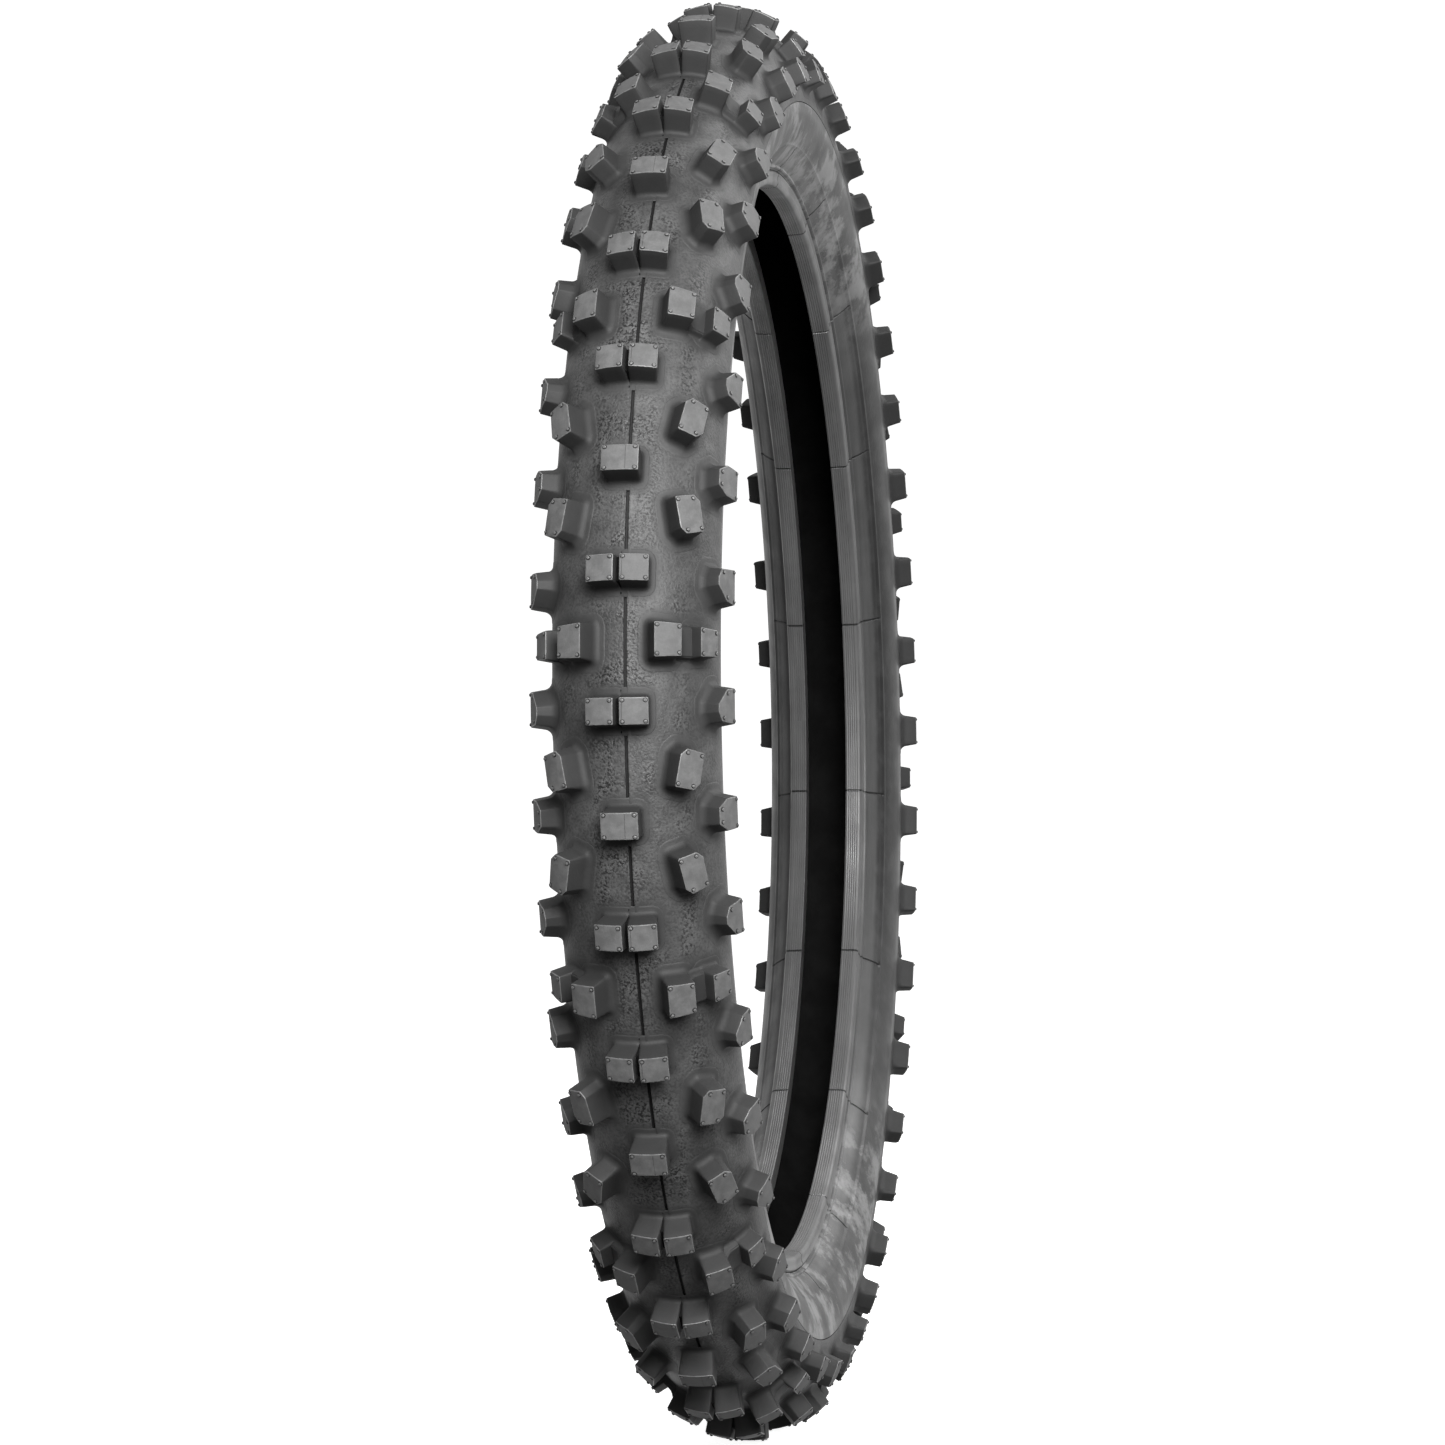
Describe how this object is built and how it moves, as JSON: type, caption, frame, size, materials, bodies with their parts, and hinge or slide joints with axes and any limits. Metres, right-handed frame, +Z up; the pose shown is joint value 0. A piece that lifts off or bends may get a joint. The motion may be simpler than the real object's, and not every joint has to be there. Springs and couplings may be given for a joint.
{
  "type": "motorcycle tire",
  "caption": "Off-road motorcycle front tyre with knobbly tread, bias-ply casing and wire beads, for a spoked 21-inch rim.",
  "frame": {"origin": "centre of the wheel: on the axle line, midway between the two beads", "axes": "+Y along the axle line, +Z up, +X towards the front of the tread"},
  "size_m": [0.7, 0.0884, 0.6998],
  "materials": {
    "tread_rubber": "matte",
    "sidewall_rubber": "satin",
    "ply_fabric": "matte",
    "liner_rubber": "satin",
    "bead_wire": "satin",
    "filler_rubber": "matte",
    "chafer_rubber": "matte"
  },
  "bodies": {
    "root": {"tread": "tread_rubber", "sidewall_left": "sidewall_rubber", "sidewall_right": "sidewall_rubber", "breaker_ply": "ply_fabric", "casing_ply_outer": "ply_fabric", "casing_ply_inner": "ply_fabric", "inner_liner": "liner_rubber", "bead_core_left": "bead_wire", "bead_core_right": "bead_wire", "bead_filler_left": "filler_rubber", "bead_filler_right": "filler_rubber", "chafer_left": "chafer_rubber", "chafer_right": "chafer_rubber"}
  },
  "joints": []
}
